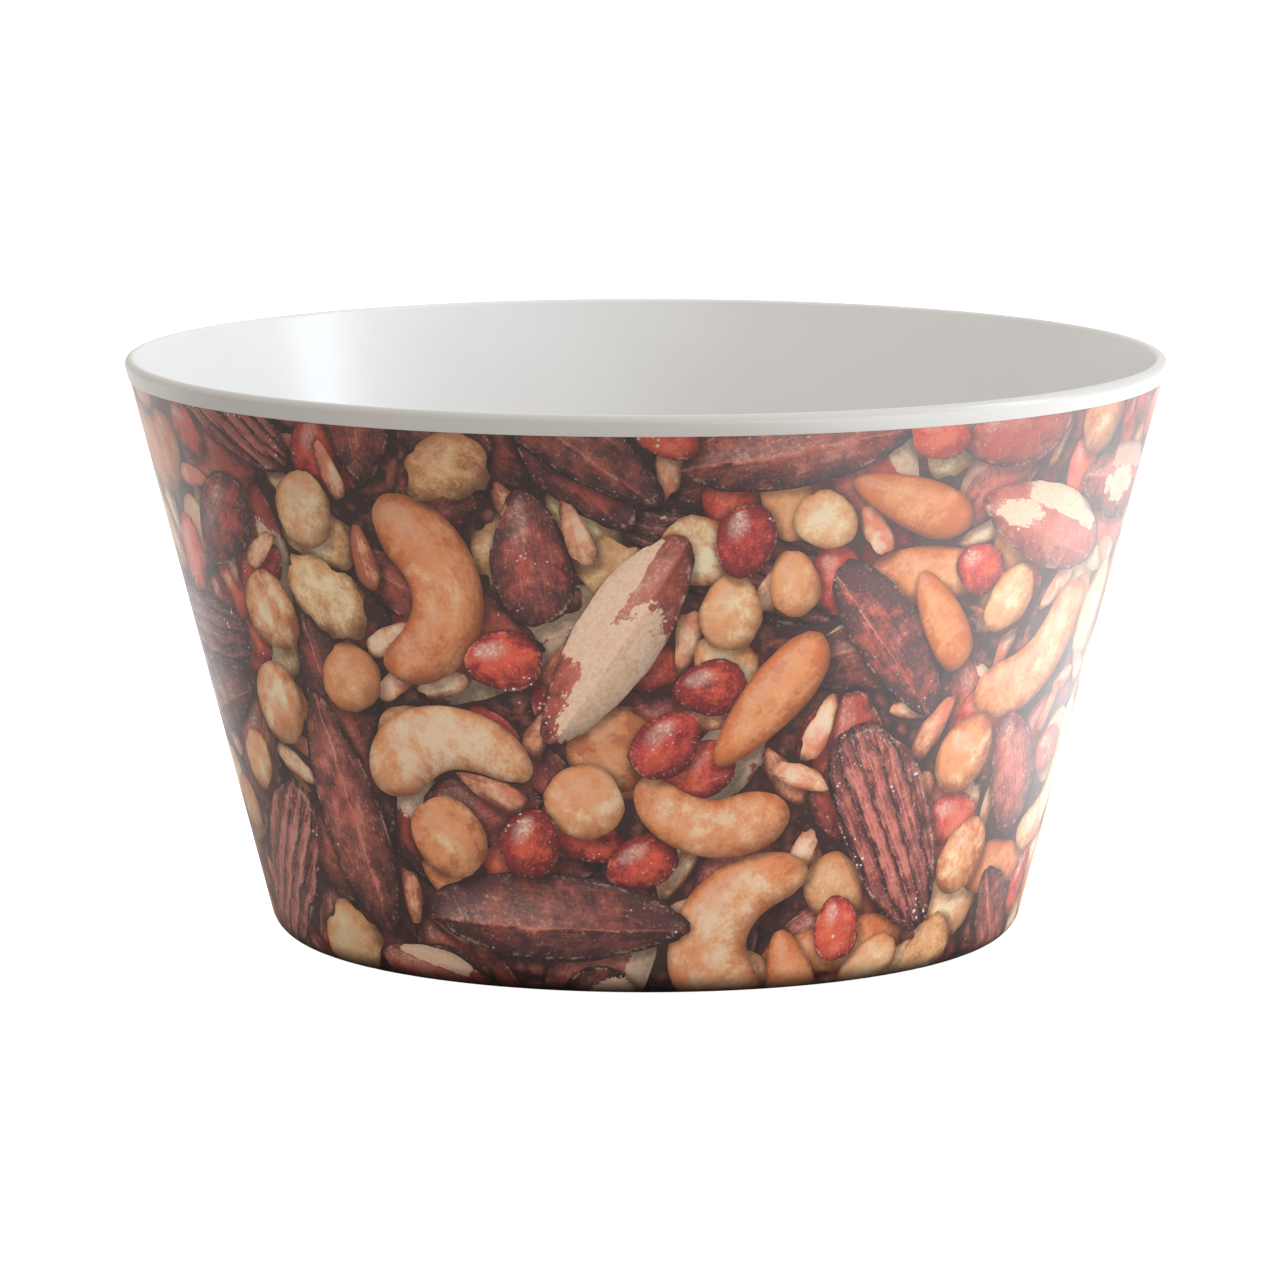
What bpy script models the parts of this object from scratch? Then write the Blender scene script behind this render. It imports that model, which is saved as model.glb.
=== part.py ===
"""A conical snack bowl of white melamine, moulded in one piece, 160 mm across and 89.5 mm high.

The wall leans outwards and ends in a rounded lip. Below the lip a bare white band runs round the
outside. Under it, a hair further in, the wall carries a printed foil of mixed nuts, which goes on
round the bottom corner. The bowl stands on a low foot ring. Metres, +Z up, and the origin is on
the table under the middle of the bowl.
"""

import math

import bmesh
import bpy
from mathutils import Vector

# Driving dimensions
RIM_DIAMETER = 0.160
HEIGHT = 0.0895
WALL_LEAN = math.radians(14.6)  # from the vertical
WALL_THICKNESS = 0.0019
FLOOR_THICKNESS = 0.0026
LIP_OUTER_RADIUS = 0.0010
LIP_INNER_RADIUS = 0.0007
BARE_BAND_HEIGHT = 0.0031  # from the top of the lip down to the printed foil
BARE_BAND_STEP = 0.0002  # how far the band stands out over the foil
OUTER_CORNER_RADIUS = 0.0050
INNER_CORNER_RADIUS = 0.0090
FOOT_RING_WIDTH = 0.0040
FOOT_RING_HEIGHT = 0.0015
FOOT_EDGE_RADIUS = 0.0006

# Fineness of the faceted solid
SIDES = 96
LIP_STEPS = 4
OUTER_CORNER_STEPS = 6
INNER_CORNER_STEPS = 6
FOOT_EDGE_STEPS = 2
WELD_DISTANCE = 1e-6
SMOOTH_BELOW = math.radians(30)

# Looks: (red, green, blue), linear
MELAMINE_WHITE = (0.80, 0.80, 0.785)
PRINT_BROWN = (0.23, 0.10, 0.065)
MELAMINE_ROUGHNESS = 0.16

RIM_RADIUS = RIM_DIAMETER / 2
LEAN_SLOPE = math.tan(WALL_LEAN)


def arc(centre, radius, start, end, steps):
    """Points (r, z) of an arc in the profile's plane. Angles are from the +r axis towards +z."""
    turns = [start + (end - start) * i / steps for i in range(steps + 1)]
    return [
        (centre[0] + radius * math.cos(t), centre[1] + radius * math.sin(t))
        for t in turns
    ]


def base_radius():
    """Where the straight outer side of the wall, carried down, would meet the table."""
    touch_r = RIM_RADIUS - LIP_OUTER_RADIUS * (1 - math.cos(WALL_LEAN))
    touch_z = HEIGHT - LIP_OUTER_RADIUS * (1 + math.sin(WALL_LEAN))
    return touch_r - touch_z * LEAN_SLOPE


def outside_profile():
    """From the foot ring's outer edge, round the bottom corner, up the wall and over the lip's outer half."""
    corner_r = (
        base_radius()
        + LEAN_SLOPE * OUTER_CORNER_RADIUS
        - OUTER_CORNER_RADIUS / math.cos(WALL_LEAN)
    )
    corner = arc(
        (corner_r, OUTER_CORNER_RADIUS),
        OUTER_CORNER_RADIUS,
        -math.pi / 2,
        -WALL_LEAN,
        OUTER_CORNER_STEPS,
    )
    foil_z = HEIGHT - BARE_BAND_HEIGHT
    foil_edge = (base_radius() + LEAN_SLOPE * foil_z - BARE_BAND_STEP, foil_z)
    band_edge = (foil_edge[0] + BARE_BAND_STEP, foil_z + BARE_BAND_STEP)
    lip = arc(
        (RIM_RADIUS - LIP_OUTER_RADIUS, HEIGHT - LIP_OUTER_RADIUS),
        LIP_OUTER_RADIUS,
        -WALL_LEAN,
        math.pi / 2,
        LIP_STEPS,
    )
    return corner, [foil_edge, band_edge], lip


def inside_profile():
    """From the lip's inner half down the wall, round the inner corner and across the floor to the axis."""
    wall_r_at_table = base_radius() - WALL_THICKNESS / math.cos(WALL_LEAN)
    lip_r = (
        wall_r_at_table
        + LEAN_SLOPE * (HEIGHT - LIP_INNER_RADIUS)
        + LIP_INNER_RADIUS / math.cos(WALL_LEAN)
    )
    lip = arc(
        (lip_r, HEIGHT - LIP_INNER_RADIUS),
        LIP_INNER_RADIUS,
        math.pi / 2,
        math.pi - WALL_LEAN,
        LIP_STEPS,
    )
    floor_z = FOOT_RING_HEIGHT + FLOOR_THICKNESS
    corner_z = floor_z + INNER_CORNER_RADIUS
    corner_r = (
        wall_r_at_table
        + LEAN_SLOPE * corner_z
        - INNER_CORNER_RADIUS / math.cos(WALL_LEAN)
    )
    corner = arc(
        (corner_r, corner_z),
        INNER_CORNER_RADIUS,
        -WALL_LEAN,
        -math.pi / 2,
        INNER_CORNER_STEPS,
    )
    return lip, corner, (0.0, floor_z)


def underside_profile(foot_outer_r):
    """From the axis out along the recessed underside and down to the foot ring's inner edge."""
    foot_inner_r = foot_outer_r - FOOT_RING_WIDTH
    recess_corner = arc(
        (foot_inner_r - FOOT_EDGE_RADIUS, FOOT_RING_HEIGHT - FOOT_EDGE_RADIUS),
        FOOT_EDGE_RADIUS,
        math.pi / 2,
        0.0,
        FOOT_EDGE_STEPS,
    )
    foot_edge = arc(
        (foot_inner_r + FOOT_EDGE_RADIUS, FOOT_EDGE_RADIUS),
        FOOT_EDGE_RADIUS,
        math.pi,
        math.pi * 1.5,
        FOOT_EDGE_STEPS,
    )
    return [(0.0, FOOT_RING_HEIGHT)] + recess_corner + foot_edge


def bowl_profile():
    """The half section as one line of (r, z), from the axis underneath to the axis inside."""
    bottom_corner, foil_step, outer_lip = outside_profile()
    inner_lip, inner_corner, floor_middle = inside_profile()
    underside = underside_profile(bottom_corner[0][0])
    outside = bottom_corner + foil_step + outer_lip
    return underside + outside + inner_lip + inner_corner + [floor_middle]


def turned_mesh(name, profile):
    """The half section spun round the Z axis into one closed mesh."""
    bm = bmesh.new()
    points = [bm.verts.new((r, 0.0, z)) for r, z in profile]
    edges = [bm.edges.new(pair) for pair in zip(points, points[1:])]
    bmesh.ops.spin(
        bm,
        geom=points + edges,
        cent=Vector((0, 0, 0)),
        axis=Vector((0, 0, 1)),
        angle=2 * math.pi,
        steps=SIDES,
        use_merge=True,
    )
    bmesh.ops.remove_doubles(bm, verts=bm.verts, dist=WELD_DISTANCE)
    bmesh.ops.recalc_face_normals(bm, faces=bm.faces)
    mesh = bpy.data.meshes.new(name)
    bm.to_mesh(mesh)
    bm.free()
    mesh.shade_smooth()
    mesh.set_sharp_from_angle(angle=SMOOTH_BELOW)
    return mesh


def melamine_material(name, colour):
    material = bpy.data.materials.new(name)
    material.use_nodes = True
    shader = material.node_tree.nodes["Principled BSDF"]
    shader.inputs["Base Color"].default_value = (*colour, 1)
    shader.inputs["Metallic"].default_value = 0.0
    shader.inputs["Roughness"].default_value = MELAMINE_ROUGHNESS
    return material


def lay_foil(mesh, print_slot):
    """The foil covers the outside from the foot ring's outer edge up to the bare band."""
    foot_outer_r = outside_profile()[0][0][0]
    for face in mesh.polygons:
        centre = face.center
        outwards = centre.x * face.normal.x + centre.y * face.normal.y > 0
        below_band = centre.z < HEIGHT - BARE_BAND_HEIGHT
        if outwards and below_band and math.hypot(centre.x, centre.y) > foot_outer_r:
            face.material_index = print_slot


def clear_scene():
    for obj in list(bpy.data.objects):
        bpy.data.objects.remove(obj)


def main():
    clear_scene()
    mesh = turned_mesh("bowl", bowl_profile())
    mesh.materials.append(melamine_material("white melamine", MELAMINE_WHITE))
    mesh.materials.append(melamine_material("mixed nut print", PRINT_BROWN))
    lay_foil(mesh, print_slot=1)
    bowl = bpy.data.objects.new("bowl", mesh)
    bpy.context.scene.collection.objects.link(bowl)


main()
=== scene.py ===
import math
import random

import bmesh
import bpy
import numpy as np
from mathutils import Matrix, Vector, noise
from mathutils.geometry import delaunay_2d_cdt


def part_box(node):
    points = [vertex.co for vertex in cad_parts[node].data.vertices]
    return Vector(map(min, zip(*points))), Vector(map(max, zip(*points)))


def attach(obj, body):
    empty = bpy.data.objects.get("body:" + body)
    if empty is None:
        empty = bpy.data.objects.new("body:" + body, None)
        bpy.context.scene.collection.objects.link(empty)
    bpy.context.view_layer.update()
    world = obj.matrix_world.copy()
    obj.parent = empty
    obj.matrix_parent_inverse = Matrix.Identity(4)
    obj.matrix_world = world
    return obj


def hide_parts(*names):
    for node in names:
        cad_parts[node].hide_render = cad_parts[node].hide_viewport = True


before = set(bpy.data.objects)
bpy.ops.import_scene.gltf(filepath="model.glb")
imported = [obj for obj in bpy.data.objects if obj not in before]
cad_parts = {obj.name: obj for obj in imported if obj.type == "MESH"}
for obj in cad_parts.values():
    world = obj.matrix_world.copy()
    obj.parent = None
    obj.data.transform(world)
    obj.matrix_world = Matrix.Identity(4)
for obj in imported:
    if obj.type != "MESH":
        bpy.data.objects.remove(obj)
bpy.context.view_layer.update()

# The bowl's own sizes, in metres, as the CAD has them. The width and height come from the CAD bowl's box.
lowCorner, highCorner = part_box("bowl")
bowl = {
    "rimRadius": (highCorner[0] - lowCorner[0]) / 2,
    "height": highCorner[2] - lowCorner[2],
    "wallLean": math.radians(14.6),
    "wallThickness": 0.0019,
    "floorThickness": 0.0026,
    "lipOuter": 0.0010,
    "lipInner": 0.0007,
    "bandHeight": 0.0031,
    "bandStep": 0.0002,
    "bandEdgeRound": 0.00012,
    "foilDepth": 0.0003,
    "foilEnd": math.radians(80),
    "outerCorner": 0.0050,
    "innerCorner": 0.0090,
    "footWidth": 0.0040,
    "footHeight": 0.0015,
    "footEdge": 0.0006,
    "turns": 256,
    "arcSteps": 12,
    "weldWithin": 1e-6,
    "smoothBelow": math.radians(35),
}
slope = math.tan(bowl["wallLean"])
leanCos = math.cos(bowl["wallLean"])
baseRadius = (
    bowl["rimRadius"]
    - bowl["lipOuter"] * (1 - leanCos)
    - slope * (bowl["height"] - bowl["lipOuter"] * (1 + math.sin(bowl["wallLean"])))
)
# where the rounded bottom corner has its centre, as (r, z)
cornerCentre = (
    baseRadius + slope * bowl["outerCorner"] - bowl["outerCorner"] / leanCos,
    bowl["outerCorner"],
)


class Wire:
    # A socket of a node tree. Sums with numbers and other wires add Math nodes.
    def __init__(self, tree, socket=None):
        self.tree = tree
        self.socket = socket

    def node(self, kind, settings, values, output=0):
        made = self.tree.nodes.new(kind)
        for name, value in settings.items():
            if name == "stops":
                ramp = made.color_ramp
                while len(ramp.elements) < len(value):
                    ramp.elements.new(0.5)
                for stop, (place, colour) in zip(ramp.elements, value):
                    stop.position = place
                    stop.color = (*colour, 1)
            else:
                setattr(made, name, value)
        for name, value in values.items():
            if isinstance(value, Wire):
                self.tree.links.new(value.socket, made.inputs[name])
            else:
                made.inputs[name].default_value = value
        return Wire(self.tree, made.outputs[output])

    def sum(self, operation, *values):
        return self.node("ShaderNodeMath", {"operation": operation}, dict(enumerate(values)))

    def __add__(self, other):
        return self.sum("ADD", self, other)

    __radd__ = __add__

    def __sub__(self, other):
        return self.sum("SUBTRACT", self, other)

    def __rsub__(self, other):
        return self.sum("SUBTRACT", other, self)

    def __mul__(self, other):
        return self.sum("MULTIPLY", self, other)

    __rmul__ = __mul__

    def __truediv__(self, other):
        return self.sum("DIVIDE", self, other)

    def __rtruediv__(self, other):
        return self.sum("DIVIDE", other, self)

    def __pow__(self, other):
        return self.sum("POWER", self, other)

    def __abs__(self):
        return self.sum("ABSOLUTE", self)

    def between(self, low, high, toLow=0.0, toHigh=1.0):
        values = {"Value": self, "From Min": low, "From Max": high, "To Min": toLow, "To Max": toHigh}
        return self.node("ShaderNodeMapRange", {"interpolation_type": "SMOOTHSTEP"}, values)

    def noiseAt(self, place, scale, detail, roughness=0.5):
        values = {"Vector": place, "Scale": scale, "Detail": detail, "Roughness": roughness}
        return self.node("ShaderNodeTexNoise", {}, values)

    def attribute(self, name):
        return self.node("ShaderNodeAttribute", {"attribute_name": name}, {}, "Vector").parts()

    def scaled(self, share):
        values = {"Vector": self, "Scale": share}
        return self.node("ShaderNodeVectorMath", {"operation": "SCALE"}, values)

    def parts(self):
        made = self.node("ShaderNodeSeparateXYZ", {}, {"Vector": self})
        return [Wire(self.tree, out) for out in made.socket.node.outputs]

    def blend(self, colour, other):
        # self is the share of other
        settings = {"data_type": "RGBA", "clamp_factor": True}
        made = self.node("ShaderNodeMix", settings, {"Factor": self}, 2)
        for i, value in ((6, colour), (7, other)):
            if isinstance(value, Wire):
                self.tree.links.new(value.socket, made.socket.node.inputs[i])
            else:
                made.socket.node.inputs[i].default_value = (*value, 1)
        return made


def srgb(red, green, blue):
    # a colour as seen on screen, 0 to 255, made linear
    shares = [c / 255 for c in (red, green, blue)]
    return tuple(c / 12.92 if c <= 0.04045 else ((c + 0.055) / 1.055) ** 2.4 for c in shares)


def newMaterial(name):
    material = bpy.data.materials.new(name)
    material.use_nodes = True
    return material, Wire(material.node_tree), material.node_tree.nodes["Principled BSDF"]


# The white melamine body
melamineLook = {
    "white": (0.755, 0.745, 0.728),
    # painted shade: a darker white for the bare band outside, between these lip radii in from the rim
    "shadedBandWhite": (0.60, 0.582, 0.55),
    "bandShadeFrom": 1.1,  # in lip radii, in from the rim's edge
    "bandShadeTo": 0.6,
    "cloudScale": 40.0,
    "cloudDepth": 0.03,
    "smearScale": 160.0,
    "roughLow": 0.285,
    "roughHigh": 0.33,
    "rippleScale": 55.0,
    "rippleDepth": 0.00006,
    "rippleStrength": 0.5,
    "ior": 1.55,
}


def melamine():
    look = melamineLook
    material, start, shader = newMaterial("whiteMelamine")
    place = start.node("ShaderNodeTexCoord", {}, {}, "Object")
    cloud = start.noiseAt(place, look["cloudScale"], 3.0)
    smear = start.noiseAt(place, look["smearScale"], 4.0)
    dim = tuple(c * (1 - look["cloudDepth"]) for c in look["white"])
    tone = cloud.between(0.3, 0.7).blend(dim, look["white"])
    # painted shade: the bare band outside is painted a darker white, as the light reaches it less
    across, back, _ = place.parts()
    away = (across * across + back * back) ** 0.5
    inner, outer = (bowl["rimRadius"] - bowl["lipOuter"] * look[name] for name in ("bandShadeFrom", "bandShadeTo"))
    tone = away.between(inner, outer).blend(tone, look["shadedBandWhite"])
    rough = smear.between(0.3, 0.7, look["roughLow"], look["roughHigh"])
    ripple = start.noiseAt(place, look["rippleScale"], 1.0)
    dents = {"Height": ripple, "Distance": look["rippleDepth"], "Strength": look["rippleStrength"]}
    bump = start.node("ShaderNodeBump", {}, dents)
    for name, value in (("Base Color", tone), ("Roughness", rough), ("Normal", bump)):
        material.node_tree.links.new(value.socket, shader.inputs[name])
    shader.inputs["IOR"].default_value = look["ior"]
    return material


def arc(centre, radius, start, end, steps):
    turns = [start + (end - start) * i / steps for i in range(steps + 1)]
    return [(centre[0] + radius * math.cos(t), centre[1] + radius * math.sin(t)) for t in turns]


def bodyProfile():
    # half section as (r, z), from the axis underneath, round the outside, to the axis inside
    b, quarter, lean, steps = bowl, math.pi / 2, bowl["wallLean"], bowl["arcSteps"]
    corner = arc(cornerCentre, b["outerCorner"], -quarter, -b["foilEnd"], steps // 4)
    corner += arc(cornerCentre, b["outerCorner"] - b["foilDepth"], -b["foilEnd"], -lean, steps)
    footR = cornerCentre[0] - b["footWidth"]
    recessCentre = (footR - b["footEdge"], b["footHeight"] - b["footEdge"])
    recess = arc(recessCentre, b["footEdge"], quarter, 0, steps // 3)
    footCentre = (footR + b["footEdge"], b["footEdge"])
    foot = arc(footCentre, b["footEdge"], 2 * quarter, 3 * quarter, steps // 3)
    foilZ = b["height"] - b["bandHeight"]
    foilTop = (baseRadius + slope * foilZ - b["bandStep"] - b["foilDepth"] / leanCos, foilZ)
    edge = b["bandEdgeRound"]
    bandR = baseRadius + slope * (foilZ + edge) - edge
    bandEdge = arc((bandR, foilZ + edge), edge, -quarter, -lean, steps // 4)
    lipCentre = (b["rimRadius"] - b["lipOuter"], b["height"] - b["lipOuter"])
    lipOut = arc(lipCentre, b["lipOuter"], -lean, quarter, steps)
    insideR = baseRadius - b["wallThickness"] / leanCos
    lipInZ = b["height"] - b["lipInner"]
    lipInR = insideR + slope * lipInZ + b["lipInner"] / leanCos
    lipIn = arc((lipInR, lipInZ), b["lipInner"], quarter, 2 * quarter - lean, steps)
    floorZ = b["footHeight"] + b["floorThickness"]
    inR = insideR + slope * (floorZ + b["innerCorner"]) - b["innerCorner"] / leanCos
    inside = arc((inR, floorZ + b["innerCorner"]), b["innerCorner"], -lean, -quarter, steps)
    under = [(0, b["footHeight"])] + recess + foot
    return under + corner + [foilTop] + bandEdge + lipOut + lipIn + inside + [(0, floorZ)]


def makeBody():
    bm = bmesh.new()
    points = [bm.verts.new((r, 0, z)) for r, z in bodyProfile()]
    edges = [bm.edges.new(pair) for pair in zip(points, points[1:])]
    bmesh.ops.spin(
        bm,
        geom=points + edges,
        cent=(0, 0, 0),
        axis=(0, 0, 1),
        angle=2 * math.pi,
        steps=bowl["turns"],
        use_merge=True,
    )
    bmesh.ops.remove_doubles(bm, verts=bm.verts, dist=bowl["weldWithin"])
    bmesh.ops.recalc_face_normals(bm, faces=bm.faces)
    mesh = bpy.data.meshes.new("bowlBody")
    bm.to_mesh(mesh)
    bm.free()
    mesh.shade_smooth()
    mesh.set_sharp_from_angle(angle=bowl["smoothBelow"])
    body = bpy.data.objects.new("bowlBody", mesh)
    bpy.context.scene.collection.objects.link(body)
    mesh.materials.append(melamine())
    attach(body, "root")
    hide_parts("bowl")
    print("body", len(mesh.polygons), "faces")


makeBody()

# The nuts of the print, in millimetres on the wall. half is half a nut's length, wide its width over
# its length, flat the lower half's share of the width, taper how much narrower the right end is, blunt
# how square the ends are, bend the half angle of a crescent, and rough how far the outline wanders.
plainShape = {"flat": 1.0, "taper": 0.10, "blunt": 0.0, "bend": 0.0, "rough": 0.045}
nutShapes = {
    "cashew": {"half": 14.4, "wide": 0.36, "taper": 0.20, "blunt": 0.45, "bend": 1.55, "rough": 0.02},
    "cashewHalf": {"half": 11.5, "wide": 0.36, "taper": 0.30, "blunt": 0.1, "rough": 0.03},
    "brazil": {"half": 18.0, "wide": 0.37, "flat": 0.85, "blunt": -0.14, "rough": 0.05},
    "pecan": {"half": 18.0, "wide": 0.39, "flat": 0.92, "blunt": 0.14, "rough": 0.05},
    "almond": {"half": 11.8, "wide": 0.55, "taper": 0.24, "blunt": -0.12},
    "redPeanut": {"half": 6.2, "wide": 0.74, "taper": 0.12, "blunt": -0.05, "rough": 0.055},
    "blondPeanut": {"half": 6.2, "wide": 0.78, "taper": 0.12, "rough": 0.06},
    "hazelnut": {"half": 6.6, "wide": 0.93},
    "darkHazel": {"half": 6.9, "wide": 0.93, "taper": 0.05, "rough": 0.02},
    "walnut": {"half": 7.8, "wide": 0.74, "blunt": 0.1, "rough": 0.15},
    "sliver": {"half": 5.0, "wide": 0.45, "flat": 0.7, "taper": 0.3, "blunt": 0.2, "rough": 0.15},
}

# How the nuts lie. The layers say how many of each kind there are, deepest layer first, how bright the
# layer is, how often a free place is looked for, and how far a nut may run into those beside it.
heap = {
    "seed": 11,
    "turned": math.radians(-60),
    "refRadius": 70.0,
    "light": (-0.28, 0.38, 0.88),
    "sizes": (0.86, 1.12),
    "widths": (0.92, 1.08),
    "brights": (0.9, 1.08),
    "bends": (0.62, 1.08),
    "spine": 0.72,
    "freeBelow": 0.04,
    "overLip": 3,  # how far above the foil's edge a nut's middle may lie
    "shadowReach": 1.5,
    "shadowShift": (0.35, -0.55),
    "outlineStep": 0.95,
    "innerRings": (0.35, 0.7),
    "latticeStep": 3.2,
    "beyondTips": 1.2,  # in half lengths, how far out a nut's width still changes
    "coarseWave": (1.6, 1.6),  # how quickly and how far the outline wanders
    "fineWave": (5, 0.8),
    "roundAbove": 0.7,
    "circlesAt": (-0.75, -0.38, 0, 0.38, 0.75),
    "circleShare": 0.95,
    "leastSteps": 14,
    "joinMargin": 3,
    "wallAbove": 12,  # how far above the foil's edge the wall is still followed
    "snapWithin": 1e-5,
    "leastArea": 1e-9,
    "gapUnit": 20,
    "wallRows": 26,
    "cornerRows": 8,
    "panels": 3,
    "layers": [
        {
            "bright": 0.66,
            "tries": 6,
            "limit": 9.0,
            "counts": {
                "brazil": 16,
                "almond": 54,
                "redPeanut": 60,
                "walnut": 20,
                "pecan": 6,
                "sliver": 90,
            },
        },
        {
            "bright": 0.86,
            "tries": 25,
            "limit": 2.2,
            "counts": {
                "brazil": 8,
                "almond": 34,
                "redPeanut": 54,
                "blondPeanut": 18,
                "hazelnut": 12,
                "walnut": 12,
                "cashewHalf": 8,
                "sliver": 80,
            },
        },
        {
            "bright": 1.0,
            "tries": 260,
            "limit": 0.62,
            "counts": {
                "pecan": 8,
                "brazil": 21,
                "cashew": 20,
                "cashewHalf": 6,
                "almond": 15,
                "walnut": 10,
                "darkHazel": 3,
                "hazelnut": 16,
                "blondPeanut": 18,
                "redPeanut": 42,
                "sliver": 34,
            },
        },
    ],
}
mm = 0.001
wallWidth = 2 * math.pi * heap["refRadius"]
foilTopZ = bowl["height"] - bowl["bandHeight"]
foilTopR = baseRadius + slope * foilTopZ - bowl["bandStep"]
cornerStartR = cornerCentre[0] + bowl["outerCorner"] * leanCos
cornerStartZ = cornerCentre[1] - bowl["outerCorner"] * math.sin(bowl["wallLean"])
wallLength = math.hypot(foilTopR - cornerStartR, foilTopZ - cornerStartZ) / mm
cornerTurn = bowl["foilEnd"] - bowl["wallLean"]
cornerLength = bowl["outerCorner"] * cornerTurn / mm
foilLength = wallLength + cornerLength


def foilPlace(down):
    # (r, z) and the outward slope of the foil, down millimetres from its upper edge
    if down <= wallLength:
        share = down / wallLength
        r = foilTopR + (cornerStartR - foilTopR) * share
        z = foilTopZ + (cornerStartZ - foilTopZ) * share
        turn = -bowl["wallLean"]
    else:
        turn = -bowl["wallLean"] - (down - wallLength) * mm / bowl["outerCorner"]
        r = cornerCentre[0] + bowl["outerCorner"] * math.cos(turn)
        z = cornerCentre[1] + bowl["outerCorner"] * math.sin(turn)
    return r, z, turn


class Nut:
    # One nut on the unrolled wall: across is along the ref radius, down from the foil's upper edge
    def __init__(self, kind, across, down, turn, size, layer, dice):
        shape = {**plainShape, **nutShapes[kind]}
        self.kind, self.across, self.down, self.turn = kind, across, down, turn
        self.half = shape["half"] * size
        self.wide = self.half * shape["wide"] * dice.uniform(*heap["widths"])
        self.shape = shape
        self.bright = layer["bright"] * dice.uniform(*heap["brights"])
        self.dice = (dice.random(), dice.random())
        self.wave = dice.uniform(0, 100)
        self.cos, self.sin = math.cos(turn), math.sin(turn)
        self.bend = shape["bend"] * dice.uniform(*heap["bends"])
        if self.bend:
            # a crescent that bends less has a longer spine
            self.spine = self.half * heap["spine"] * (shape["bend"] / self.bend) ** 0.7
            self.wide = self.half * shape["wide"]
            self.sag = self.spine * math.sin(self.bend) / self.bend

    def halfWidth(self, x, y):
        s = self.shape
        x = max(-heap["beyondTips"], min(heap["beyondTips"], x))
        wide = self.wide * (1 - s["taper"] * x) * (1 + s["blunt"] * x * x)
        return wide * (s["flat"] if y < 0 else 1)

    def fromDisc(self, x, y, shift=(0, 0)):
        # a point of the unit disc to the unrolled wall
        span = y * self.halfWidth(x, y)
        if self.bend:
            turn = x * self.bend
            reach = self.spine + span
            lx, ly = reach * math.sin(turn), reach * math.cos(turn) - self.sag
        else:
            lx, ly = x * self.half, span
        dx = lx * self.cos - ly * self.sin + shift[0]
        dy = lx * self.sin + ly * self.cos + shift[1]
        down = self.down - dy
        return self.across + dx * heap["refRadius"] / wallRadius(down), down

    def toDisc(self, across, down, shift=(0, 0)):
        gap = across - self.across
        gap -= wallWidth * round(gap / wallWidth)
        dx = gap * wallRadius(down) / heap["refRadius"] - shift[0]
        dy = self.down - down - shift[1]
        lx, ly = dx * self.cos + dy * self.sin, -dx * self.sin + dy * self.cos
        if self.bend:
            turn = math.atan2(lx, ly + self.sag)
            x = turn / self.bend
            span = math.hypot(lx, ly + self.sag) - self.spine
        else:
            turn, x, span = 0, lx / self.half, ly
        y = span / self.halfWidth(x, span)
        return x, y, turn

    def edge(self, turn):
        # the outline's own wandering, as a radius of the disc
        wander = 0
        for pace, reach in (heap["coarseWave"], heap["fineWave"]):
            place = Vector((math.cos(turn) * pace, math.sin(turn) * pace, self.wave))
            wander += reach * noise.noise(place)
        return 1 + self.shape["rough"] * wander

    def circles(self):
        # a few circles that fill the nut, as (across, down, radius)
        if self.shape["wide"] > heap["roundAbove"]:
            return [(self.across, self.down, (self.half + self.wide) / 2)]
        found = []
        for x in heap["circlesAt"]:
            across, down = self.fromDisc(x, 0)
            radius = self.halfWidth(x, 1) * math.sqrt(1 - x * x) * heap["circleShare"]
            found.append((across, down, radius))
        return found


def wallRadius(down):
    down = max(-heap["wallAbove"], min(wallLength, down))
    return foilPlace(down)[0] / mm


def crowding(nut, taken):
    # how far a nut runs into those already lying there
    if not len(taken):
        return 0
    worst = 0
    for across, down, radius in nut.circles():
        gap = taken[:, 0] - across
        gap -= wallWidth * np.round(gap / wallWidth)
        gap *= wallRadius(down) / heap["refRadius"]
        reach = radius + taken[:, 2] - np.hypot(gap, taken[:, 1] - down)
        worst += np.clip(reach, 0, None).sum() / radius
    return worst / len(nut.circles())


def scatter():
    dice = random.Random(heap["seed"])
    nuts = []
    for layer in heap["layers"]:
        taken = np.empty((0, 3))
        lying = []
        for kind, count in layer["counts"].items():
            for _ in range(count):
                best, bestScore = None, layer["limit"]
                for _ in range(layer["tries"]):
                    across = dice.uniform(0, wallWidth)
                    down = dice.uniform(-heap["overLip"], foilLength)
                    turn = dice.uniform(-math.pi, math.pi)
                    nut = Nut(kind, across, down, turn, dice.uniform(*heap["sizes"]), layer, dice)
                    score = crowding(nut, taken)
                    if score < bestScore:
                        best, bestScore = nut, score
                    if score < heap["freeBelow"]:
                        break
                if best:
                    lying.append(best)
                    taken = np.vstack([taken, np.array(best.circles())])
        dice.shuffle(lying)
        nuts += lying
        print("layer", layer["bright"], "nuts", len(lying))
    # the finest side is turned to the front
    for nut in nuts:
        nut.across = (nut.across + heap["turned"] * heap["refRadius"]) % wallWidth
    return nuts


def panelBorder(number, columns, rows):
    # the outline of one panel of the foil, with a point at each column and row
    first, last = (n * columns // heap["panels"] for n in (number, number + 1))
    acrosses = [wallWidth * n / columns for n in range(first, last + 1)]
    border = [(a, -foilLength) for a in acrosses] + [(acrosses[-1], -d) for d in rows[-2:0:-1]]
    return border + [(a, 0) for a in reversed(acrosses)] + [(acrosses[0], -d) for d in rows[1:-1]]


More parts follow.
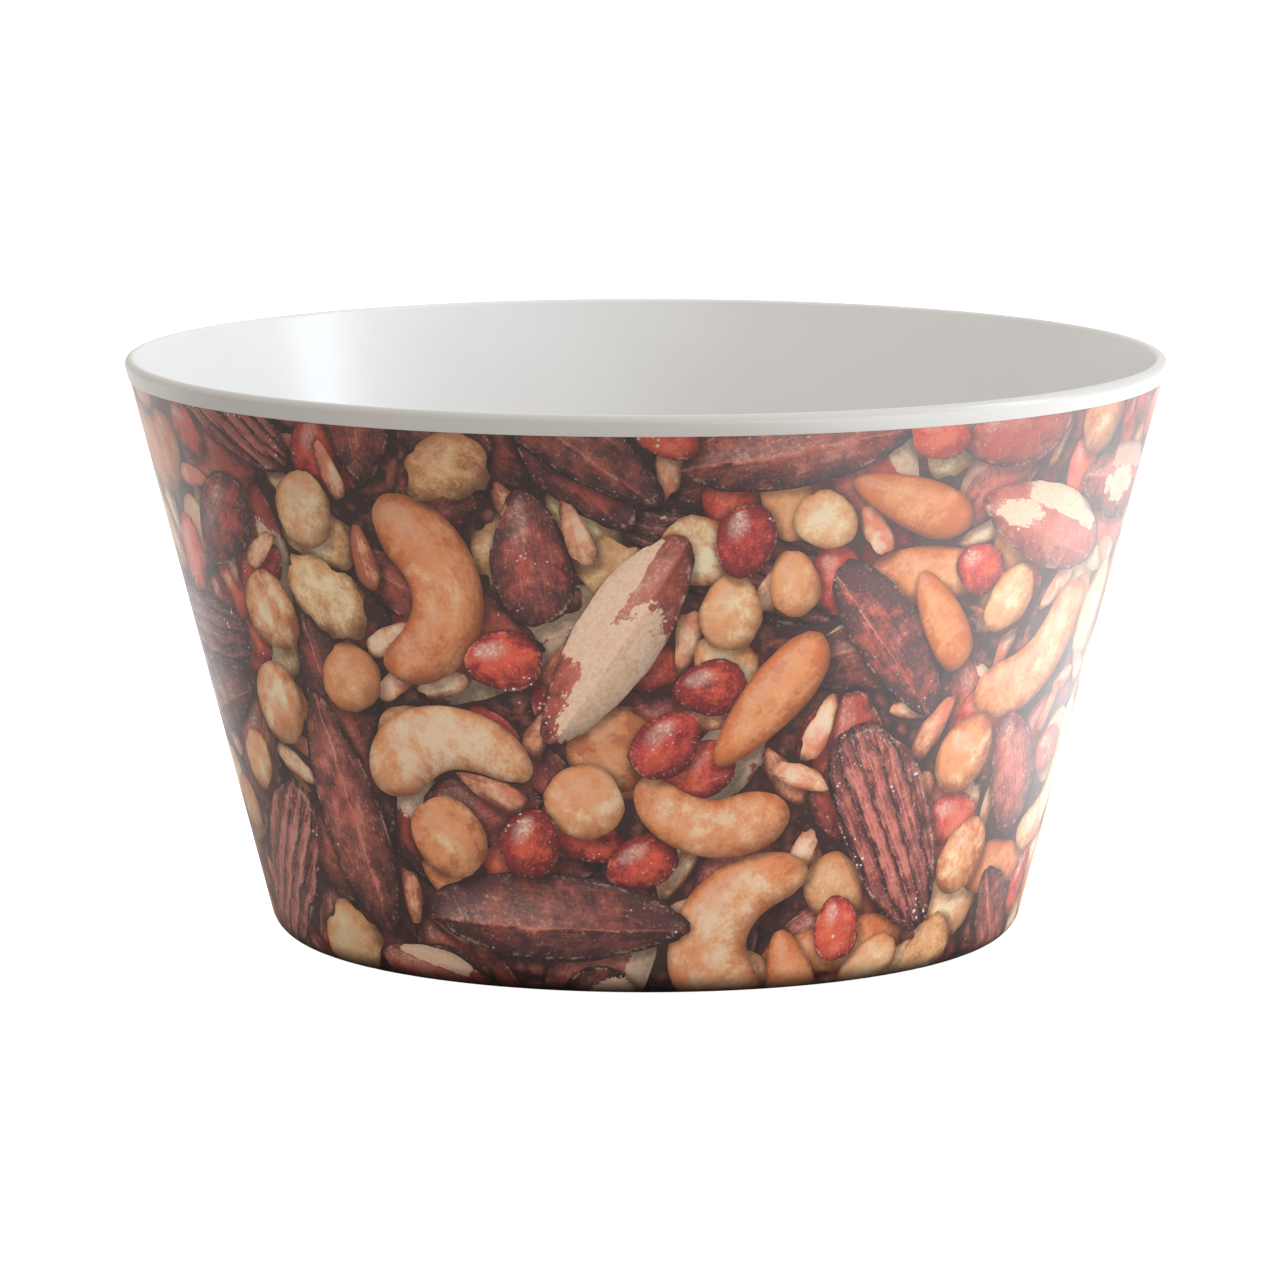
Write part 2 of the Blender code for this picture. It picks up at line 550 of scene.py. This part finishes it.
def nutOutlines(nut):
    # the nut's outline, its shadow's outline, and two rings of points inside it
    around = 2.2 * (nut.half * (1 if not nut.bend else nut.bend * 0.8) + nut.wide)
    steps = max(heap["leastSteps"], round(around * 1.4 / heap["outlineStep"]))
    if nut.down + nut.half > wallLength:
        steps *= 2
    reach = heap["shadowReach"]
    outline, shade = [], []
    for i in range(steps):
        turn = 2 * math.pi * i / steps
        edge = nut.edge(turn)
        outline.append(nut.fromDisc(edge * math.cos(turn), edge * math.sin(turn)))
        if i % 2 == 0:
            x = edge * math.cos(turn) * (1 + reach / nut.half)
            y = edge * math.sin(turn) * (1 + reach / nut.wide)
            shade.append(nut.fromDisc(x, y, heap["shadowShift"]))
    inner = []
    for ring in heap["innerRings"]:
        ringSteps = round(steps * ring / 2)
        for i in range(ringSteps):
            turn = 2 * math.pi * i / ringSteps
            inner.append(nut.fromDisc(ring * math.cos(turn), ring * math.sin(turn)))
    return outline, shade, inner


def planarPieces(nuts):
    # outlines, shadow outlines and points for the flat triangulation, with what each outline is
    points, faces, owners = [], [], []

    def addFace(outline, owner):
        first = len(points)
        points.extend(Vector(p) for p in outline)
        faces.append(list(range(first, len(points))))
        owners.append(owner)

    columns = heap["panels"] * round(wallWidth / heap["panels"] / heap["latticeStep"])
    rows = [i * wallLength / heap["wallRows"] for i in range(heap["wallRows"])]
    rows += [wallLength + cornerLength * i / heap["cornerRows"] for i in range(heap["cornerRows"] + 1)]
    for i in range(heap["panels"]):
        addFace(panelBorder(i, columns, rows), ("panel", i))
    for index, nut in enumerate(nuts):
        outline, shade, inner = nutOutlines(nut)
        # a nut on the join lies at both ends of the unrolled wall
        for slide in (-wallWidth, 0, wallWidth):
            acrosses = [p[0] + slide for p in outline]
            if max(acrosses) < -heap["joinMargin"] or min(acrosses) > wallWidth + heap["joinMargin"]:
                continue
            addFace([(a + slide, -d) for a, d in outline], ("nut", index))
            addFace([(a + slide, -d) for a, d in shade], ("shade", index))
            for a, d in inner:
                if 0 < a + slide < wallWidth and 0 < d < foilLength:
                    points.append(Vector((a + slide, -d)))
    for down in rows[1:-1]:
        for i in range(columns):
            if i % (columns // heap["panels"]):
                points.append(Vector((wallWidth * i / columns, -down)))
    return points, faces, owners


def shadowOn(nut, across, down):
    # how much this nut shades a point of what lies below it, 1 at its outline
    x, y, _ = nut.toDisc(across, down, heap["shadowShift"])
    reach = heap["shadowReach"]
    outer = math.hypot(x / (1 + reach / nut.half), y / (1 + reach / nut.wide))
    plain = math.hypot(x, y)
    if outer >= 1 or plain < 1e-6:
        return 0 if outer >= 1 else 1
    inner = outer / plain
    return max(0, min(1, (1 - outer) / max(1e-6, 1 - inner)))


def layPrint():
    nuts = scatter()
    points, faces, owners = planarPieces(nuts)
    found = delaunay_2d_cdt(points, [], faces, 1, heap["snapWithin"], True)
    flat, _, triangles, _, _, origins = found
    print("triangulated", len(flat), "points", len(triangles), "triangles")
    kinds = list(nutShapes)
    materials = [gapMaterial()] + [nutMaterial(kind) for kind in kinds]
    panels = [[] for _ in range(heap["panels"])]
    for triangle, origin in zip(triangles, origins):
        # the highest nut shows, and the nuts above it may still shade it
        panel, top, shades = None, -1, []
        for o in origin:
            what, index = owners[o]
            if what == "panel":
                panel = index
            elif what == "nut":
                top = max(top, index)
            else:
                shades.append(index)
        if panel is None:
            continue
        a, b, c = (flat[i] for i in triangle)
        if abs((b - a).cross(c - a)) < heap["leastArea"]:
            continue
        panels[panel].append((triangle, top, sorted({s for s in shades if s > top})))
    for number, parts in enumerate(panels):
        makePanel(number, parts, flat, nuts, kinds, materials)


def foilSpot(across, down):
    # where a point of the unrolled foil lies on the wall, and its normal
    r, z, turn = foilPlace(max(0, min(foilLength, down)))
    angle = across / heap["refRadius"]
    left, back = -math.sin(angle), math.cos(angle)
    normal = Vector((left * math.cos(turn), back * math.cos(turn), math.sin(turn)))
    return Vector((left * r, back * r, z)), normal


def cornerNotes(nut, shadowing, across, down):
    # what a material reads at one corner: the place on the nut, the light there, and its mood, which is
    # the cover from the nuts above, the nut's brightness and its luck
    cover = 1.0
    for above in shadowing:
        cover *= 1 - shadowOn(above, across, down)
    if not nut:
        return (across / heap["gapUnit"], down / heap["gapUnit"]), (0, 0, 0), (cover, 1, 0.5)
    x, y, turn = nut.toDisc(across, down)
    whole = nut.turn - turn
    lx, ly, _ = heap["light"]
    light = (
        lx * math.cos(whole) + ly * math.sin(whole),
        -lx * math.sin(whole) + ly * math.cos(whole),
        nut.dice[1],
    )
    return (x, y), light, (cover, nut.bright, nut.dice[0])


def makePanel(number, parts, flat, nuts, kinds, materials):
    used = sorted({i for triangle, _, _ in parts for i in triangle})
    place = {old: new for new, old in enumerate(used)}
    spots, normals = zip(*(foilSpot(flat[i].x, -flat[i].y) for i in used))
    name = f"nutPrint{number + 1}"
    mesh = bpy.data.meshes.new(name)
    mesh.from_pydata(spots, [], [[place[i] for i in triangle] for triangle, _, _ in parts])
    corners = len(mesh.loops)
    disc, light, mood, unrolled = (np.zeros((corners, n)) for n in (2, 3, 3, 2))
    slots = np.zeros(len(parts), dtype=np.int32)
    corner = 0
    panelWidth = wallWidth / heap["panels"]
    for face, (triangle, top, shades) in enumerate(parts):
        nut = nuts[top] if top >= 0 else None
        shadowing = [nuts[s] for s in shades]
        slots[face] = kinds.index(nut.kind) + 1 if nut else 0
        for i in triangle:
            across, down = flat[i].x, -flat[i].y
            disc[corner], light[corner], mood[corner] = cornerNotes(nut, shadowing, across, down)
            unrolled[corner] = (across - number * panelWidth) / panelWidth, 1 - down / foilLength
            corner += 1
    for label, values in (("OFBake", unrolled), ("nutDisc", disc)):
        mesh.uv_layers.new(name=label).data.foreach_set("uv", values.ravel())
    for label, values in (("nutLight", light), ("nutMood", mood)):
        mesh.attributes.new(label, "FLOAT_VECTOR", "CORNER").data.foreach_set("vector", values.ravel())
    for material in materials:
        mesh.materials.append(material)
    mesh.polygons.foreach_set("material_index", slots)
    mesh.shade_smooth()
    mesh.normals_split_custom_set_from_vertices(normals)
    panel = bpy.data.objects.new(name, mesh)
    bpy.context.scene.collection.objects.link(panel)
    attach(panel, "root")
    print(name, len(parts), "triangles")


# Each kind's looks. Colours are as seen on screen; flush is a second hue that comes in drifts. streak is
# how strong the lengthwise lines are, ridges how many ridges run lengthwise, mottle how blotchy it is,
# gloss the painted highlight, glints its small sharp sparkles, peel how often the skin is rubbed off in a
# patch, strip how often it is cut off along one side, wetEdge how bright the nut's edge glistens, and
# salt how many specks of salt lie on it.
plainLook = {
    "crease": 0, "streak": 0.1, "ridges": 0, "mottle": 0.5, "gloss": 0.1, "glints": 0.2,
    "peel": 0, "strip": 0, "salt": 0.3, "bumps": 0.15, "flushShare": 0.6, "wetEdge": 0,
}
nutLooks = {
    "cashew": {
        "dark": (194, 110, 66), "mid": (226, 162, 116), "pale": (250, 218, 182), "flush": (220, 138, 88),
        "streak": 0.12, "mottle": 0.7, "gloss": 0.26, "glints": 0.0, "salt": 0.15, "flushShare": 0.65,
    },
    "cashewHalf": {
        "dark": (188, 106, 64), "mid": (224, 156, 108), "pale": (248, 210, 170), "flush": (222, 148, 98),
        "streak": 0.14, "mottle": 0.55, "gloss": 0.2, "glints": 0.1, "salt": 0.2,
    },
    "brazil": {
        "dark": (82, 50, 50), "mid": (132, 74, 66), "pale": (184, 114, 98), "flush": (158, 74, 60),
        "crease": 0.9, "streak": 0.32, "mottle": 0.9, "gloss": 0.16, "glints": 0.4, "peel": 1.1,
        "strip": 0.5, "salt": 0.6, "bumps": 0.3, "flushShare": 0.7, "wetEdge": 0.26,
    },
    "pecan": {
        "dark": (70, 40, 40), "mid": (126, 64, 58), "pale": (180, 108, 96), "flush": (120, 76, 76),
        "streak": 0.9, "ridges": 5, "mottle": 0.6, "gloss": 0.16, "glints": 0.3, "salt": 1.0,
        "bumps": 0.3, "flushShare": 0.6, "wetEdge": 0.3,
    },
    "almond": {
        "dark": (84, 48, 48), "mid": (136, 70, 62), "pale": (184, 106, 90), "flush": (170, 70, 58),
        "streak": 0.5, "mottle": 0.75, "gloss": 0.18, "glints": 0.45, "peel": 0.35, "strip": 0.15,
        "salt": 0.6, "bumps": 0.3, "flushShare": 0.8, "wetEdge": 0.3,
    },
    "redPeanut": {
        "dark": (128, 42, 42), "mid": (186, 70, 60), "pale": (218, 112, 90), "flush": (210, 92, 60),
        "streak": 0.2, "mottle": 0.85, "gloss": 0.45, "glints": 1.0, "peel": 0.25, "salt": 0.8,
        "bumps": 0.3, "wetEdge": 0.25,
    },
    "blondPeanut": {
        "dark": (202, 132, 86), "mid": (230, 180, 134), "pale": (251, 229, 190), "flush": (218, 146, 100),
        "mottle": 0.8, "gloss": 0.2, "glints": 0.1, "salt": 0.1, "bumps": 0.2,
    },
    "hazelnut": {
        "dark": (184, 108, 68), "mid": (226, 172, 126), "pale": (251, 229, 190), "flush": (210, 134, 88),
        "mottle": 1.0, "gloss": 0.22, "glints": 0.15, "bumps": 0.25, "flushShare": 0.8,
    },
    "darkHazel": {
        "dark": (48, 30, 28), "mid": (92, 56, 48), "pale": (140, 92, 76), "flush": (110, 56, 46),
        "streak": 0.6, "mottle": 0.9, "peel": 0.9, "bumps": 0.35, "wetEdge": 0.3,
    },
    "walnut": {
        "dark": (176, 118, 78), "mid": (222, 174, 124), "pale": (248, 226, 184), "flush": (204, 138, 92),
        "mottle": 0.75, "gloss": 0.12, "glints": 0.2, "bumps": 0.6, "flushShare": 0.5,
    },
    "sliver": {
        "dark": (150, 84, 62), "mid": (216, 160, 124), "pale": (241, 210, 178), "flush": (204, 108, 82),
        "streak": 0.3, "mottle": 0.7, "gloss": 0.04, "salt": 0.2, "bumps": 0.3, "flushShare": 0.9,
    },
}
printLook = {
    "saltColour": (250, 240, 230),
    "peelColour": (240, 210, 182),
    "peelShade": (206, 158, 126),
    "glintColour": (255, 226, 208),
    "gapDark": (54, 33, 31),
    "gapPale": (152, 86, 70),
    "toneStops": {"dark": 0.10, "mid": 0.42, "pale": 0.68},
    "roughLow": 0.28,
    "roughHigh": 0.36,
    "hazeScale": 220.0,
    "ior": 1.5,
    "ambient": 0.60,
    "direct": 0.72,
    "rimShade": 0.60,
    "coveredShade": 0.38,
    "dust": 0.35,
    "dustScale": 2100.0,
    "cellScale": 900.0,
    "saltDriftScale": 160.0,
    "crumbScale": 420.0,
    "gapSalt": 0.6,
    "gain": 1.14,
    "brightest": 0.98,
    "footShade": 0.2,
    "topShade": 0.71,
    "topShadeFrom": 0.060,
}
# The noises on a nut, in its own millimetres: (scale, detail, roughness)
nutNoises = {
    "blotch": (0.32, 4.0, 0.6),
    "grain": (1.7, 4.0, 0.65),
    "drift": (0.17, 3.0, 0.5),
    "streaks": (1.6, 4.0, 0.6),
}


def finishPrint(material, start, shader, colour, place):
    # the clear melamine over the foil, a little uneven
    haze = start.noiseAt(place, printLook["hazeScale"], 3.0)
    rough = haze.between(0.25, 0.75, printLook["roughLow"], printLook["roughHigh"])
    # painted shade: the print is darker where it turns under the bowl, and a little towards the lip,
    # where less light reaches
    up = place.parts()[2]
    low = up.between(0.0, bowl["outerCorner"] * 0.8, printLook["footShade"], 1.0)
    low = low * up.between(printLook["topShadeFrom"], foilTopZ, 1.0, printLook["topShade"])
    # red is the strongest channel of every colour here: it eases off below white, and the hue stays
    red = colour.parts()[0] / printLook["brightest"]
    eased = low / (1.0 + red ** 4.0) ** 0.25
    kept = colour.scaled(eased)
    material.node_tree.links.new(kept.socket, shader.inputs["Base Color"])
    material.node_tree.links.new(rough.socket, shader.inputs["Roughness"])
    shader.inputs["IOR"].default_value = printLook["ior"]


def saltOn(start, place, amount):
    # small white specks, 0 or 1, that come in drifts
    values = {"Vector": place, "Scale": printLook["cellScale"]}
    cells = start.node("ShaderNodeTexVoronoi", {}, values, "Distance")
    drift = start.noiseAt(place, printLook["saltDriftScale"], 2.0)
    size = drift.between(0.52 - 0.1 * amount, 0.75, 0.0, 0.30 * amount + 0.04)
    return (size - cells).between(0.0, 0.08)


def gapMaterial():
    material, start, shader = newMaterial("gapBetweenNuts")
    place = start.node("ShaderNodeTexCoord", {}, {}, "Object")
    cover = start.attribute("nutMood")[0]
    crumbs = start.noiseAt(place, printLook["crumbScale"], 5.0).between(0.44, 0.68)
    tone = (crumbs * cover).blend(srgb(*printLook["gapDark"]), srgb(*printLook["gapPale"]))
    salt = saltOn(start, place, printLook["gapSalt"]) * 0.6 * cover
    colour = salt.blend(tone, srgb(*printLook["saltColour"]))
    finishPrint(material, start, shader, colour, place)
    return material


class NutWires:
    # what every part of a nut's material starts from
    def __init__(self, start, shape):
        self.start = start
        self.place = start.node("ShaderNodeTexCoord", {}, {}, "Object")
        disc = start.node("ShaderNodeUVMap", {"uv_map": "nutDisc"}, {})
        self.x, self.y, _ = disc.parts()
        self.lightX, self.lightY, self.chance = start.attribute("nutLight")
        self.cover, self.bright, self.luck = start.attribute("nutMood")
        # the nut's own place in millimetres, moved on for each nut so that no two are alike
        along = self.x * shape["half"]
        aside = self.y * (shape["half"] * shape["wide"])
        moved = self.luck * 90 + self.chance * 37
        own = start.node("ShaderNodeCombineXYZ", {}, {"X": along, "Y": aside, "Z": moved})
        drawnOut = {"X": along * 0.12, "Y": aside * 1.5, "Z": self.luck * 50}
        lines = start.node("ShaderNodeCombineXYZ", {}, drawnOut)
        self.blotch, self.grain, self.drift = (
            start.noiseAt(own, *nutNoises[name]) for name in ("blotch", "grain", "drift")
        )
        self.streaks = start.noiseAt(lines, *nutNoises["streaks"])
        self.radius2 = self.x * self.x + self.y * self.y


def foldOf(nut):
    # 0 along the crease that runs the length of the nut
    return nut.y - (nut.luck - 0.5) * 0.7 + (nut.blotch - 0.5) * 0.35 + (nut.streaks - 0.5) * 0.1


def ridgePhase(nut, look):
    # grows by half a turn from one lengthwise ridge to the next
    narrow = nut.start.sum("MAXIMUM", 1.0 - nut.x * nut.x * 0.8, 0.05) ** 0.5
    waver = (nut.drift - 0.5) * 3.6 + (nut.blotch - 0.5) * 1.3 + (nut.streaks - 0.5) * 2.2
    return nut.y / narrow * (look["ridges"] * math.pi / 2) + waver + nut.luck * 6


def facingLight(nut, look, shape, fold, phase):
    # the painted light falls on a domed form, which some kinds crease along a ridge
    height = nut.start.sum("MAXIMUM", 1.06 - nut.radius2, 0.02) ** 0.5
    tipX = nut.x * shape["wide"]
    slant = nut.y
    if fold:
        slant = nut.y * (1 - look["crease"] * 0.4) + (fold.between(-0.05, 0.05) - 0.5) * look["crease"]
    if phase:
        slant = nut.y * 0.7 + nut.start.sum("SINE", phase * 2.0) * 0.75
    length = (tipX * tipX + slant * slant + height * height) ** 0.5
    return (tipX * nut.lightX + slant * nut.lightY + height * heap["light"][2]) / length


def skinLevel(nut, look, fold, ridge):
    # dark towards the edge, pale in the middle, with blotches, streaks and ridges
    level = (1.0 - nut.radius2 * 0.7) * 0.5 + (nut.blotch - 0.5) * (look["mottle"] * 1.7)
    level = level + (nut.grain - 0.5) * 0.5
    level = level + (nut.streaks - 0.5) * (look["streak"] * 1.6) + (nut.luck - 0.5) * 0.5
    if fold:
        level = level + (1.0 - abs(fold).between(0.0, 0.07)) * 0.3
    if ridge:
        level = level * 0.8 + ridge.between(0.0, 0.7) * 0.5 - 0.32
    return level


def skinTone(nut, look, level):
    stops = [(spot, srgb(*look[name])) for name, spot in printLook["toneStops"].items()]
    tone = nut.start.node("ShaderNodeValToRGB", {"stops": stops}, {"Fac": level})
    drifting = (nut.drift + (nut.chance - 0.5) * 0.25).between(0.42, 0.62)
    flushed = drifting * level.between(0.0, 0.4) * look["flushShare"]
    return flushed.blend(tone, srgb(*look["flush"]))


def rubOff(nut, look, tone, rim):
    # where the skin is gone the nut is pale, and along a cut side its rim is too
    pale, dim = (srgb(*printLook[name]) for name in ("peelColour", "peelShade"))
    bare = (nut.grain.between(0.34, 0.7) * 0.85).blend(pale, dim)
    ragged = (nut.blotch - 0.5) * 1.1 + (nut.grain - 0.5) * 0.4 + (nut.streaks - 0.5) * 0.4
    if look["peel"]:
        # one ragged patch of skin is rubbed off, larger on some nuts than on others
        patchX = nut.x * 1.5 - (nut.luck - 0.5) * 1.6
        patchY = nut.y * 1.3 - (nut.chance - 0.75) * 2.4
        reach = (patchX * patchX + patchY * patchY) ** 0.5 + ragged
        size = nut.chance.between(1.0 - look["peel"] * 0.5, 1.0, -0.6, 1.0)
        tone = (size - reach).between(0.0, 0.05).blend(tone, bare)
    if look["strip"]:
        # on some nuts the skin is cut off along one side
        border = 0.0 - nut.y - 0.38 + ragged * 0.3 + (nut.chance - 0.5) * 0.3
        ends = 0.62 - abs(nut.x + (nut.chance - 0.5) * 0.6) + ragged * 0.3
        has = nut.luck.between(0.99 - look["strip"], 1.0 - look["strip"])
        cut = border.between(0.0, 0.04) * ends.between(0.0, 0.04) * has
        tone = cut.blend(tone, bare)
        rim = nut.start.sum("MAXIMUM", rim, cut * 0.85)
    return tone, rim


def glintOn(nut, look, facing):
    # a broken highlight, with small sharp sparkles in it
    broken = (nut.grain + nut.blotch * 0.6).between(0.5, 0.9, 0.4, 1.0)
    soft = (facing.between(0.84, 1.0) ** 3.0) * broken * look["gloss"]
    sparkle = facing + (nut.grain - 0.5) * 0.5 + (nut.blotch - 0.5) * 0.3
    glint = nut.start.sum("MAXIMUM", soft, sparkle.between(0.99, 1.06) * look["glints"])
    if look["wetEdge"]:
        # a thin broken line of light just inside the outline
        line = nut.radius2.between(0.80, 0.88) * nut.radius2.between(0.90, 0.98, 1.0, 0.0)
        gaps = (nut.blotch + (nut.grain - 0.5) * 0.8).between(0.5, 0.68)
        glint = glint + line * gaps * look["wetEdge"]
    return glint * nut.bright * nut.cover


def nutMaterial(kind):
    look, shape = {**plainLook, **nutLooks[kind]}, nutShapes[kind]
    material, start, shader = newMaterial(kind + "Print")
    nut = NutWires(start, shape)
    fold = foldOf(nut) if look["crease"] else None
    phase = ridgePhase(nut, look) if look["ridges"] else None
    ridge = abs(start.sum("SINE", phase)) if phase else None
    facing = facingLight(nut, look, shape, fold, phase)
    lit = facing + ((nut.blotch - 0.5) * (look["bumps"] * 1.5) + (nut.grain - 0.5) * look["bumps"])
    shade = lit.between(0.0, 1.0, printLook["ambient"], printLook["ambient"] + printLook["direct"])
    rim = nut.radius2.between(0.70, 1.04, 1.0, printLook["rimShade"])
    if ridge:
        rim = rim * ridge.between(0.0, 0.3, 0.45, 1.0)
    tone = skinTone(nut, look, skinLevel(nut, look, fold, ridge))
    if look["peel"] or look["strip"]:
        tone, rim = rubOff(nut, look, tone, rim)
    covered = nut.cover.between(0.0, 1.0, printLook["coveredShade"], 1.0)
    shaded = tone.scaled(shade * rim * nut.bright * covered * printLook["gain"])
    glinted = glintOn(nut, look, facing).blend(shaded, srgb(*printLook["glintColour"]))
    dust = start.noiseAt(nut.place, printLook["dustScale"], 2.0).between(0.60, 0.78)
    salt = saltOn(start, nut.place, look["salt"]) * 0.75 + dust * (printLook["dust"] * look["salt"])
    salted = (salt * nut.bright * nut.cover).blend(glinted, srgb(*printLook["saltColour"]))
    finishPrint(material, start, shader, salted, nut.place)
    return material


layPrint()

# Studio: floor, board, lights and camera
studio = {
    "floorSize": 12.0,
    "floorGap": 0.00005,
    "floorWhite": 0.74,
    "floorTint": (1.0, 0.975, 0.94),
    "floorShadow": 0.25,
    "shadowWithin": (0.056, 0.066),
    "floorLift": 1.0,
    "floorShine": 0.1,
    "mattness": 0.9,
    "tableGlow": 3.2,
    "glowTint": (0.94, 0.96, 1.0),
    "glowFrom": 0.055,
    "glowTo": 0.15,
    "glowBehind": 0.28,
    "backGlow": 0.65,
    "backFrom": 0.03,
    "backTo": 0.17,
    "worldTint": (1.0, 0.97, 0.94),
    "worldStrength": 0.87,
    "keyPlace": (0.96, 0.004, 0.35),
    "keySize": (0.08, 0.80),
    "keyPower": 3.6,
    "wingPlace": (0.95, -0.11, 0.35),
    "wingSize": (0.14, 0.80),
    "wingPower": 0.7,
    "softPlace": (0.85, -0.22, 0.50),
    "softSize": (0.50, 0.50),
    "softPower": 2.4,
    "lampTint": (0.83, 0.925, 1.04),
    "lampAim": (0, 0, 0.05),
    "boardLeft": -0.36,
    "boardSpan": (-0.55, 0.10),
    "boardTop": 0.15,
    "boardDark": 0.06,
}
# The photograph's frame is 1280 across; the camera's distance and aim bring the bowl to its place in it.
shot = {
    "frameWidth": 1280,
    "focalPixels": 8000,
    "distance": 1.236,
    "elevation": math.radians(8.55),
    "aim": (-0.00093, 0.0, 0.04494),
    "sensor": 36.0,
}


def makeFloor():
    bm = bmesh.new()
    bmesh.ops.create_grid(bm, x_segments=1, y_segments=1, size=studio["floorSize"] / 2)
    bmesh.ops.translate(bm, verts=bm.verts, vec=(0, 0, -studio["floorGap"]))
    mesh = bpy.data.meshes.new("floor")
    bm.to_mesh(mesh)
    bm.free()
    material, start, shader = newMaterial("paleFloor")
    shader.inputs["Roughness"].default_value = studio["mattness"]
    shader.inputs["Specular IOR Level"].default_value = studio["floorShine"]
    # the table is white to the camera, and to reflections it glows, a painted reflection that is
    # brightest on the key's side
    seen = start.node("ShaderNodeLightPath", {}, {}, "Is Camera Ray") * studio["floorLift"]
    mirrored = start.node("ShaderNodeLightPath", {}, {}, "Is Glossy Ray")
    across, back, _ = start.node("ShaderNodeTexCoord", {}, {}, "Object").parts()
    # painted shadow: a darker table colour round the foot stands in for the bowl's contact shadow
    # close round the foot the table is dark, as in the photograph's black lower edge
    away = (across * across + back * back) ** 0.5
    pale = tuple(c * studio["floorWhite"] for c in studio["floorTint"])
    dark = tuple(c * studio["floorShadow"] for c in studio["floorTint"])
    table = away.between(*studio["shadowWithin"]).blend(dark, pale)
    material.node_tree.links.new(table.socket, shader.inputs["Base Color"])
    # painted reflection: this glow is seen by glossy rays alone, on the key's side and a little behind on
    # the left
    behind = back.between(0.0, studio["glowTo"] * 2, 1.0, studio["glowBehind"])
    glow = across.between(studio["glowFrom"], studio["glowTo"]) * behind * studio["tableGlow"]
    left = across.between(-studio["glowFrom"], studio["glowFrom"], 1.0, 0.0)
    glow = glow + back.between(studio["backFrom"], studio["backTo"]) * left * studio["backGlow"]
    paintedSheen = mirrored * glow
    lifts = {axis: seen + paintedSheen * tint for axis, tint in zip("XYZ", studio["glowTint"])}
    lift = start.node("ShaderNodeCombineXYZ", {}, lifts)
    shader.inputs["Emission Strength"].default_value = 1.0
    material.node_tree.links.new(lift.socket, shader.inputs["Emission Color"])
    mesh.materials.append(material)
    floor = bpy.data.objects.new("floor", mesh)
    bpy.context.scene.collection.objects.link(floor)


def makeBoard():
    # a dark board on the left, which the camera never sees, keeps that side of the bowl in shade
    bm = bmesh.new()
    front, back = studio["boardSpan"]
    outline = [(front, 0), (back, 0), (back, studio["boardTop"]), (front, studio["boardTop"])]
    bm.faces.new([bm.verts.new((studio["boardLeft"], y, z)) for y, z in outline])
    mesh = bpy.data.meshes.new("board")
    bm.to_mesh(mesh)
    bm.free()
    material, _, shader = newMaterial("darkBoard")
    shader.inputs["Base Color"].default_value = (*(studio["boardDark"],) * 3, 1)
    shader.inputs["Roughness"].default_value = studio["mattness"]
    mesh.materials.append(material)
    board = bpy.data.objects.new("board", mesh)
    bpy.context.scene.collection.objects.link(board)
    board.visible_camera = False


def makeLight(name, place, size, power, tint):
    lamp = bpy.data.lights.new(name, "AREA")
    lamp.shape = "RECTANGLE"
    lamp.size, lamp.size_y = size
    lamp.energy = power
    lamp.color = tint
    light = bpy.data.objects.new(name, lamp)
    light.location = place
    towards = Vector(studio["lampAim"]) - Vector(place)
    light.rotation_euler = towards.to_track_quat("-Z", "Y").to_euler()
    bpy.context.scene.collection.objects.link(light)
    return light


def makeStudio():
    makeFloor()
    makeBoard()
    world = bpy.data.worlds.new("studio")
    world.use_nodes = True
    background = world.node_tree.nodes["Background"]
    background.inputs["Color"].default_value = (*studio["worldTint"], 1)
    background.inputs["Strength"].default_value = studio["worldStrength"]
    bpy.context.scene.world = world
    for name in ("key", "wing", "soft"):
        place, size, power = (studio[name + part] for part in ("Place", "Size", "Power"))
        light = makeLight(name, place, size, power, studio["lampTint"])
        # the soft light stays out of reflections
        light.visible_glossy = name != "soft"
    bpy.context.scene.view_settings.view_transform = "Standard"


def makeCamera():
    lens = bpy.data.cameras.new("camera")
    lens.sensor_width = shot["sensor"]
    lens.lens = shot["focalPixels"] * shot["sensor"] / shot["frameWidth"]
    camera = bpy.data.objects.new("camera", lens)
    aim = Vector(shot["aim"])
    back = Vector((0, -math.cos(shot["elevation"]), math.sin(shot["elevation"]))) * shot["distance"]
    camera.location = aim + back
    camera.rotation_euler = (-back).to_track_quat("-Z", "Y").to_euler()
    bpy.context.scene.collection.objects.link(camera)
    bpy.context.scene.camera = camera


makeStudio()
makeCamera()
print("studio ready")
